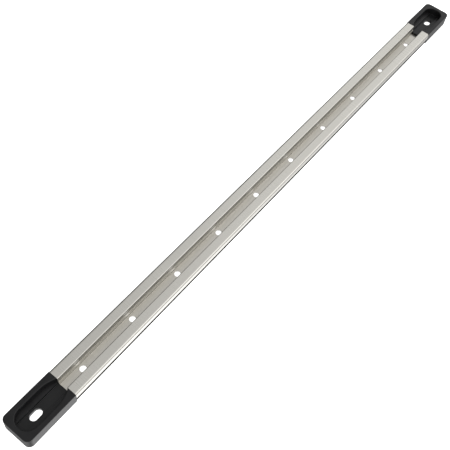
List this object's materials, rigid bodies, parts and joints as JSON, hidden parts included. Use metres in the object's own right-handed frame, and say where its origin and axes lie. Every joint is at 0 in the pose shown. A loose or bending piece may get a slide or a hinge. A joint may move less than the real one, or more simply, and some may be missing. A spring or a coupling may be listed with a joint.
{
  "type": "magnetic knife rack",
  "caption": "Long narrow wall rack: satin steel channel with two magnetic lips and a perforated recess, black moulded end caps with screw slots. Holds steel knives flat against its face.",
  "frame": {"origin": "middle of the rack's back, on the wall plane", "axes": "+X along the rack towards the right end cap, +Y up the wall, +Z away from the wall through the face of the lips"},
  "size_m": [0.61, 0.027, 0.012],
  "materials": {
    "satin_steel": "satin",
    "strip_steel": "satin",
    "black_plastic": "matte",
    "keeper_steel": "satin",
    "ferrite": "matte"
  },
  "bodies": {
    "root": {"body_channel": "satin_steel", "centre_strip": "strip_steel", "end_cap_left": "black_plastic", "end_cap_right": "black_plastic", "keeper_upper": "keeper_steel", "keeper_lower": "keeper_steel", "magnet_upper_01": "ferrite", "magnet_upper_02": "ferrite", "magnet_upper_03": "ferrite", "magnet_upper_04": "ferrite", "magnet_upper_05": "ferrite", "magnet_upper_06": "ferrite", "magnet_upper_07": "ferrite", "magnet_upper_08": "ferrite", "magnet_upper_09": "ferrite", "magnet_upper_10": "ferrite", "magnet_lower_01": "ferrite", "magnet_lower_02": "ferrite", "magnet_lower_03": "ferrite", "magnet_lower_04": "ferrite", "magnet_lower_05": "ferrite", "magnet_lower_06": "ferrite", "magnet_lower_07": "ferrite", "magnet_lower_08": "ferrite", "magnet_lower_09": "ferrite", "magnet_lower_10": "ferrite"}
  },
  "joints": []
}
